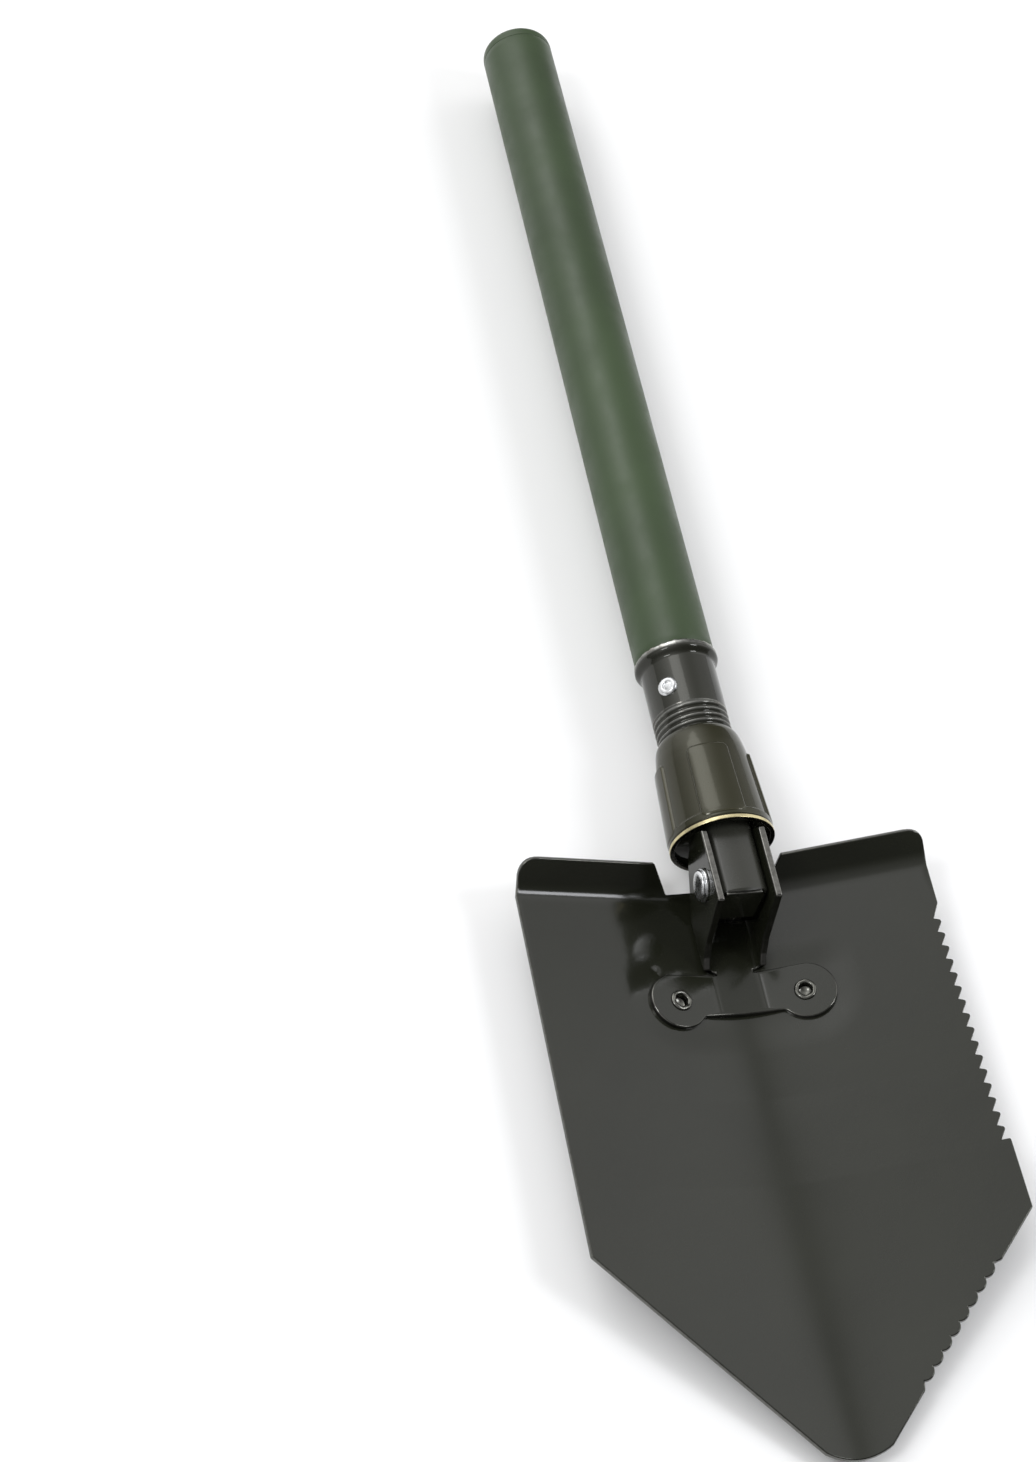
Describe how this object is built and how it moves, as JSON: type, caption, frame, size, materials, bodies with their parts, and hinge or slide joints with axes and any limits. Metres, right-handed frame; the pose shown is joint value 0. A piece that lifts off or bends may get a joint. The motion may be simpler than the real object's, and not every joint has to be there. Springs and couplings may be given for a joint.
{
  "type": "folding camp shovel",
  "caption": "Folding camp shovel with a pointed dished blade, saw and scalloped edges, foot treads, riveted hinge, threaded lock collar and tube handle.",
  "frame": {"origin": "bottom centre of the shovel as it lies on its back", "axes": "+Y along the handle towards the butt, +Z out of the blade's face, +X towards the saw-toothed edge"},
  "size_m": [0.1532, 0.626, 0.0435],
  "materials": {
    "green_paint": "semi-gloss olive green",
    "black_paint": "gloss olive black",
    "blade_paint": "gloss olive black",
    "drab_paint": "gloss olive drab",
    "yellow_zinc": "yellow zinc plate",
    "bright_steel": "bright zinc plate",
    "dark_steel": "painted over with the blade, worn at the rim",
    "core_wood": "plain turned hardwood"
  },
  "bodies": {
    "handle": {"grip_tube": "green_paint", "butt_cap": "green_paint", "neck": "black_paint", "neck_core": "core_wood", "neck_rivet": "bright_steel", "hinge_spacer": "bright_steel"},
    "lock_plate": {"lock_plate": "black_paint"},
    "collar": {"lock_collar": "drab_paint", "mouth_ring": "yellow_zinc"},
    "blade": {"blade": "blade_paint", "hinge_bracket": "blade_paint", "rivet_left": "dark_steel", "rivet_right": "dark_steel", "hinge_rivet": "bright_steel", "rivet_washer": "bright_steel"}
  },
  "joints": [
    {"name": "collar_slide", "type": "slide", "parent": "handle", "child": "lock_plate", "axis": [0, 1, 0], "range_m": [0, 0.0151]},
    {"name": "collar_spin", "type": "hinge", "parent": "lock_plate", "child": "collar", "pos_m": [0, -0.096, 0.02424], "axis": [0, 1, 0], "range_deg": [0, 2160]},
    {"name": "blade_fold", "type": "hinge", "parent": "handle", "child": "blade", "pos_m": [0, -0.114, 0.02774], "axis": [-1, 0, 0], "range_deg": [0, 180]}
  ],
  "couplings": [
    {"joint": "collar_slide", "follows": "collar_spin", "m_per_rad": 0.00039789}
  ]
}
